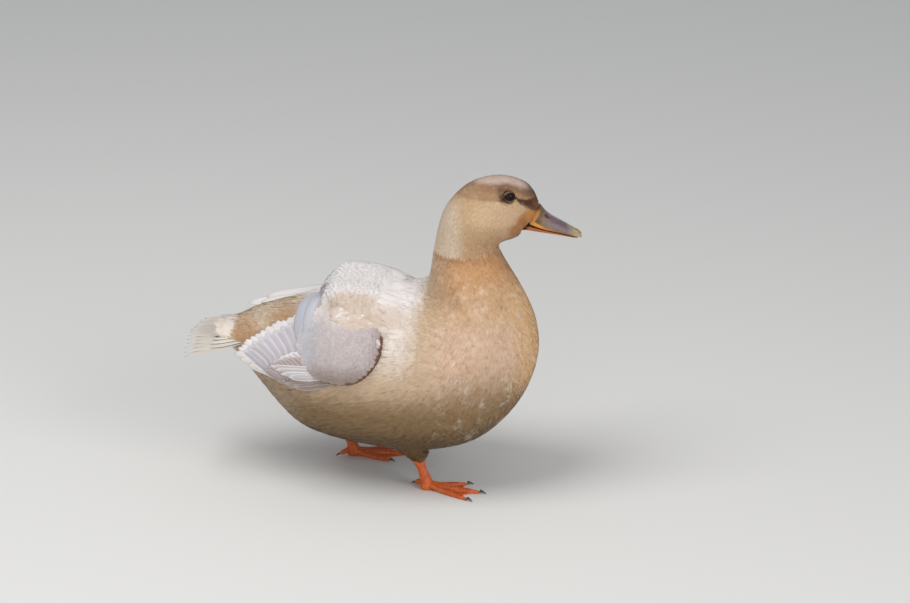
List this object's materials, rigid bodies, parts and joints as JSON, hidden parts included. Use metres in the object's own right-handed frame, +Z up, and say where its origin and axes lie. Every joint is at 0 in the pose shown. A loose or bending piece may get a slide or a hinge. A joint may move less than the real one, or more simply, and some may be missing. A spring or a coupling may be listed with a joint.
{
  "type": "duck",
  "caption": "Still life-size model of a standing domestic duck hen, head turned slightly, one webbed foot ahead of the other.",
  "frame": {"origin": "middle of the duck's box, on the floor under its feet", "axes": "+X the way the body faces, +Y to its left, +Z up"},
  "size_m": [0.386, 0.188, 0.3136],
  "materials": {
    "plumage": "soft matt feathers, warm buff on the breast and sides, creamy white on the back",
    "wing": "smooth satin feathers, lilac grey with white edges",
    "bill": "semi-gloss horn, olive brown to lilac grey with an orange lower edge",
    "eye": "wet gloss, near black brown",
    "leg": "scaly satin skin, orange red",
    "claw": "semi-gloss horn, dark brown"
  },
  "bodies": {
    "root": {"trunk": "plumage", "neck": "plumage", "head": "plumage", "scapulars_right": "plumage", "scapulars_left": "plumage", "thigh_right": "plumage", "thigh_left": "plumage", "tail": "plumage", "wing_coverts_right": "wing", "wing_coverts_left": "wing", "tertials_right": "wing", "tertials_left": "wing", "flight_feathers_right": "wing", "flight_feathers_left": "wing", "bill_upper": "bill", "bill_lower": "bill", "bill_nail": "claw", "eye_right": "eye", "eye_left": "eye", "shank_right": "leg", "shank_left": "leg", "foot_right": "leg", "foot_left": "leg", "claw_inner_right": "claw", "claw_middle_right": "claw", "claw_outer_right": "claw", "claw_hind_right": "claw", "claw_inner_left": "claw", "claw_middle_left": "claw", "claw_outer_left": "claw", "claw_hind_left": "claw"}
  },
  "joints": []
}
